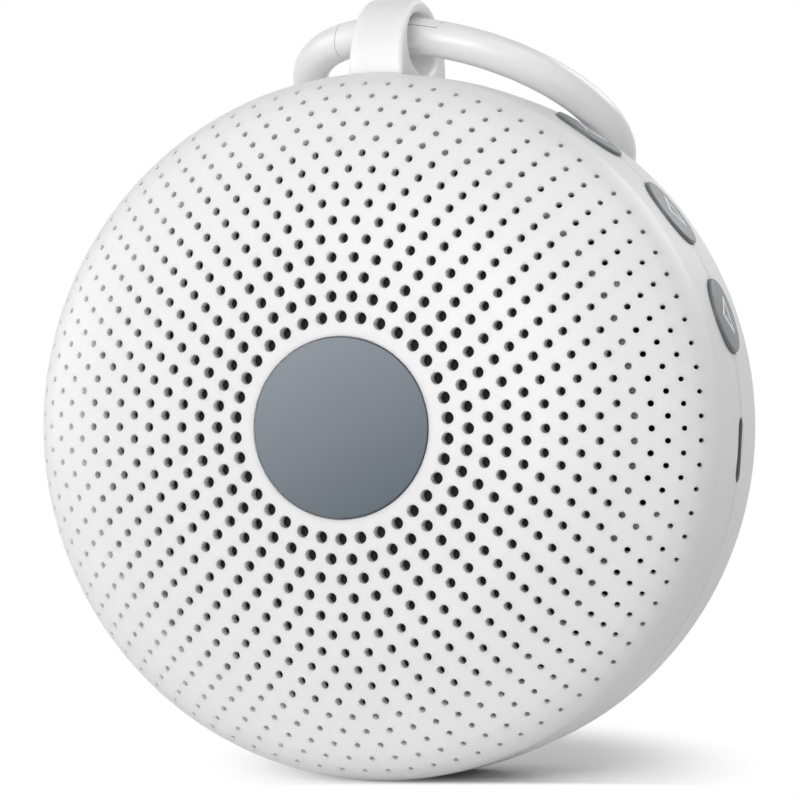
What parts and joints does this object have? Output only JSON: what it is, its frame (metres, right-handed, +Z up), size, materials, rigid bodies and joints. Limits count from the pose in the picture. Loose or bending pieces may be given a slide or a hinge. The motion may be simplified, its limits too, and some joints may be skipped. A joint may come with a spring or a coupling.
{
  "type": "white noise sound machine",
  "caption": "Round sound machine that stands on its rim: domed drilled speaker front, side push buttons, USB-C inlet, top loop with a gated clip ring.",
  "frame": {"origin": "on the floor, in the middle of the standing flat under the rear cover's rim, straight below the axis of the round case", "axes": "+Z up, -Y toward the drilled front, +X toward the buttons and the inlet; the case axis runs along Y"},
  "size_m": [0.1, 0.0722, 0.1106],
  "materials": {
    "white_case": "fine satin moulded ABS",
    "white_clip": "smooth moulded acetal",
    "blue_badge": "satin printed disc",
    "grey_button": "satin",
    "steel": "plated",
    "black_plastic": "moulded",
    "ferrite": "sintered",
    "black_cloth": "fine woven",
    "foam": "closed-cell foam",
    "rubber_roll": "soft matte",
    "paper_cone": "pressed paper",
    "copper": "enamelled wire",
    "board_green": "solder mask",
    "socket_cream": "moulded nylon",
    "battery_silver": "foil pouch",
    "lead_red": "insulated wire"
  },
  "bodies": {
    "case": {"baffle_gasket": "foam", "baffle_screws": "steel", "battery_cell": "battery_silver", "battery_leads": "lead_red", "battery_socket": "socket_cream", "battery_tape": "foam", "board_chips": "black_plastic", "board_screws": "steel", "button_switches": "black_plastic", "case_screws": "steel", "circuit_board": "board_green", "dust_cloth": "black_cloth", "front_cover": "white_case", "grille_badge": "blue_badge", "hang_loop": "white_case", "inlet_shell": "steel", "inlet_tongue": "black_plastic", "power_coil": "black_plastic", "rear_cover": "white_case", "sound_chip": "black_plastic", "speaker_baffle": "black_plastic", "speaker_basket": "steel", "speaker_cone": "paper_cone", "speaker_dust_cap": "paper_cone", "speaker_gasket": "foam", "speaker_leads": "lead_red", "speaker_magnet": "ferrite", "speaker_screws": "steel", "speaker_socket": "socket_cream", "speaker_spider": "black_cloth", "speaker_surround": "rubber_roll", "speaker_terminal": "board_green", "speaker_top_plate": "steel", "speaker_yoke": "steel", "voice_coil": "copper"},
    "button_1": {"button_cap_1": "grey_button", "switch_plunger_1": "black_plastic"},
    "button_2": {"button_cap_2": "grey_button", "switch_plunger_2": "black_plastic"},
    "button_3": {"button_cap_3": "grey_button", "switch_plunger_3": "black_plastic"},
    "ring": {"ring_body": "white_clip", "gate_pin": "steel", "gate_spring": "steel"},
    "gate": {"ring_gate": "white_clip"}
  },
  "joints": [
    {"name": "button_1_press", "type": "slide", "parent": "case", "child": "button_1", "axis": [-0.9505, 0, -0.3107], "range_m": [0, 0.0003], "stiffness_N_per_m": 2000, "springref_m": -0.0002},
    {"name": "button_2_press", "type": "slide", "parent": "case", "child": "button_2", "axis": [-0.7997, 0, -0.6004], "range_m": [0, 0.0003], "stiffness_N_per_m": 2000, "springref_m": -0.0002},
    {"name": "button_3_press", "type": "slide", "parent": "case", "child": "button_3", "axis": [-0.5635, 0, -0.8261], "range_m": [0, 0.0003], "stiffness_N_per_m": 2000, "springref_m": -0.0002},
    {"name": "ring_swing", "type": "hinge", "parent": "case", "child": "ring", "pos_m": [0, -0.0036, 0.1051], "axis": [0.9749, -0.2111, -0.0702], "range_deg": [0, 225]},
    {"name": "gate_open", "type": "hinge", "parent": "ring", "child": "gate", "pos_m": [0.00344, -0.00411, 0.10534], "axis": [-0.1563, -0.4254, -0.8914], "range_deg": [0, 15], "stiffness_Nm_per_rad": 0.005, "springref_deg": -20.05}
  ]
}
